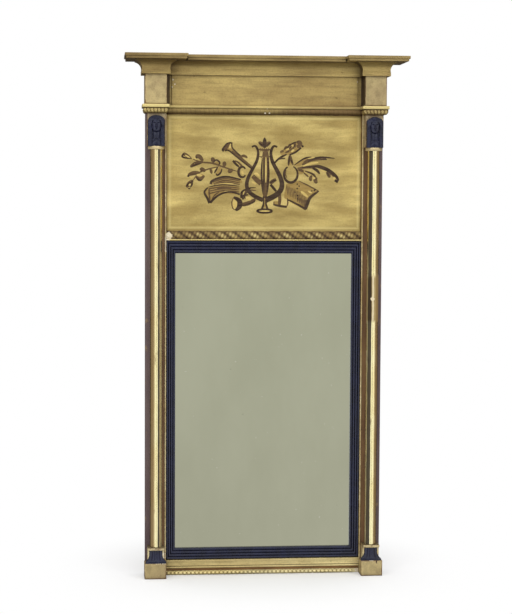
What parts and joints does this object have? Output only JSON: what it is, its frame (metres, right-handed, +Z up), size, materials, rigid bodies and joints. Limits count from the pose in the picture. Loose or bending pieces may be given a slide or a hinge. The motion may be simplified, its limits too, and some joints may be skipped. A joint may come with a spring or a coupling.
{
  "type": "entablature mirror",
  "caption": "Upright wall mirror in a gilt and ebonised wooden frame: broken cornice, plain frieze, painted tablet, side columns with mask capitals, reeded slip and ring hangers on the back.",
  "frame": {"origin": "on the wall plane, on the centre line, level with the undersides of the plinths", "axes": "+Z up, +Y into the wall so that the plate faces -Y, +X to the right as seen from the front"},
  "size_m": [0.591, 0.109, 1.1],
  "materials": {
    "gilt": "matt gold leaf over gesso",
    "burnished_gilt": "burnished gold leaf",
    "bole_gilt": "rubbed gold leaf over dark bole",
    "painted_gilt": "gold ground with brown painted ornament",
    "ebonised": "polished blue-black stain",
    "mirror": "old silvered plate",
    "pine": "bare oxidised pine",
    "brass": "dull brass",
    "iron": "dark iron"
  },
  "bodies": {
    "frame": {"architrave": "gilt", "backboard_nails": "iron", "bed_centre": "gilt", "bottom_moulding": "gilt", "bottom_rail": "pine", "bottom_slip": "ebonised", "centre_cornice_slab": "gilt", "frieze_board": "gilt", "hanger_screws": "iron", "left_astragal": "gilt", "left_backboard": "pine", "left_base": "ebonised", "left_base_block": "gilt", "left_base_cap": "gilt", "left_bed_front": "gilt", "left_bed_inner": "gilt", "left_bed_outer": "gilt", "left_cap": "gilt", "left_cap_return": "gilt", "left_capital_block": "gilt", "left_column": "burnished_gilt", "left_cornice_slab": "gilt", "left_frieze_block": "gilt", "left_gilt_strip": "gilt", "left_hanger_plate": "brass", "left_mask": "ebonised", "left_plinth": "gilt", "left_slip": "ebonised", "left_stile": "bole_gilt", "middle_rail": "pine", "mirror_plate": "mirror", "pearl_strip": "gilt", "plate_wedges": "pine", "right_astragal": "gilt", "right_backboard": "pine", "right_base": "ebonised", "right_base_block": "gilt", "right_base_cap": "gilt", "right_bed_front": "gilt", "right_bed_inner": "gilt", "right_bed_outer": "gilt", "right_cap": "gilt", "right_cap_return": "gilt", "right_capital_block": "gilt", "right_column": "burnished_gilt", "right_cornice_slab": "gilt", "right_frieze_block": "gilt", "right_gilt_strip": "gilt", "right_hanger_plate": "brass", "right_mask": "ebonised", "right_plinth": "gilt", "right_slip": "ebonised", "right_stile": "bole_gilt", "tablet": "painted_gilt", "tablet_moulding": "gilt", "tablet_wedges": "pine", "top_rail": "pine", "top_slip": "ebonised"},
    "left_ring": {"left_hanger_ring": "brass"},
    "right_ring": {"right_hanger_ring": "brass"}
  },
  "joints": [
    {"name": "left_ring_swing", "type": "hinge", "parent": "frame", "child": "left_ring", "pos_m": [-0.15, -0.0046, 1.045], "axis": [1, 0, 0], "range_deg": [0, 180]},
    {"name": "right_ring_swing", "type": "hinge", "parent": "frame", "child": "right_ring", "pos_m": [0.15, -0.0046, 1.045], "axis": [1, 0, 0], "range_deg": [0, 180]}
  ]
}
